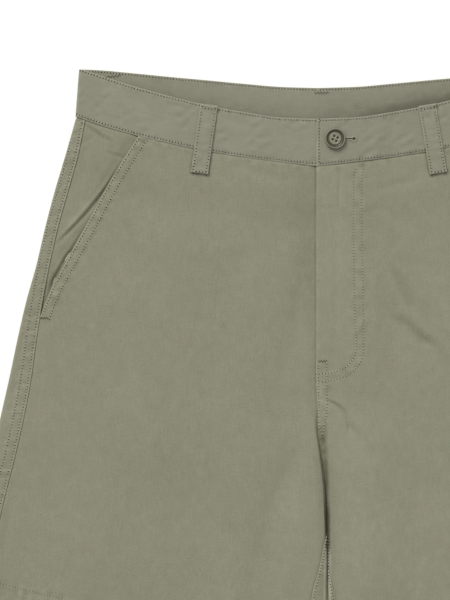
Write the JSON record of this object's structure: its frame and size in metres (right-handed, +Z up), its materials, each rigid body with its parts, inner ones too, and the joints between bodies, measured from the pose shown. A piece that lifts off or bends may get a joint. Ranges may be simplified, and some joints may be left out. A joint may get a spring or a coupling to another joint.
{
  "type": "chino shorts",
  "caption": "Wide-legged olive cotton chino shorts laid flat with the front up, with belt loops, a buttoned fly and slanted front pockets.",
  "frame": {"origin": "the middle of the underside's bounding box, on the surface that the shorts lie on", "axes": "+X to the wearer's left, which a viewer above the front has on the right; +Y from the hems to the waist; +Z up, out of the front"},
  "size_m": [0.5756, 0.4929, 0.013],
  "materials": {
    "cotton_twill": "matt, washed",
    "pocketing": "matt",
    "zip_tape": "matt",
    "button_plastic": "semi-gloss, mottled",
    "thread": "satin"
  },
  "bodies": {
    "root": {"front_right": "cotton_twill", "front_left": "cotton_twill", "back_right": "cotton_twill", "back_left": "cotton_twill", "pocket_facing_right": "cotton_twill", "pocket_facing_left": "cotton_twill", "pocket_bag_right": "pocketing", "pocket_bag_left": "pocketing", "waistband_right": "cotton_twill", "waistband_left": "cotton_twill", "loop_front_right": "cotton_twill", "loop_front_left": "cotton_twill", "loop_back_right": "cotton_twill", "loop_back_left": "cotton_twill", "loop_back_centre": "cotton_twill", "fly_shield": "cotton_twill", "fly_zip": "zip_tape", "button": "button_plastic", "button_shank": "thread"}
  },
  "joints": []
}
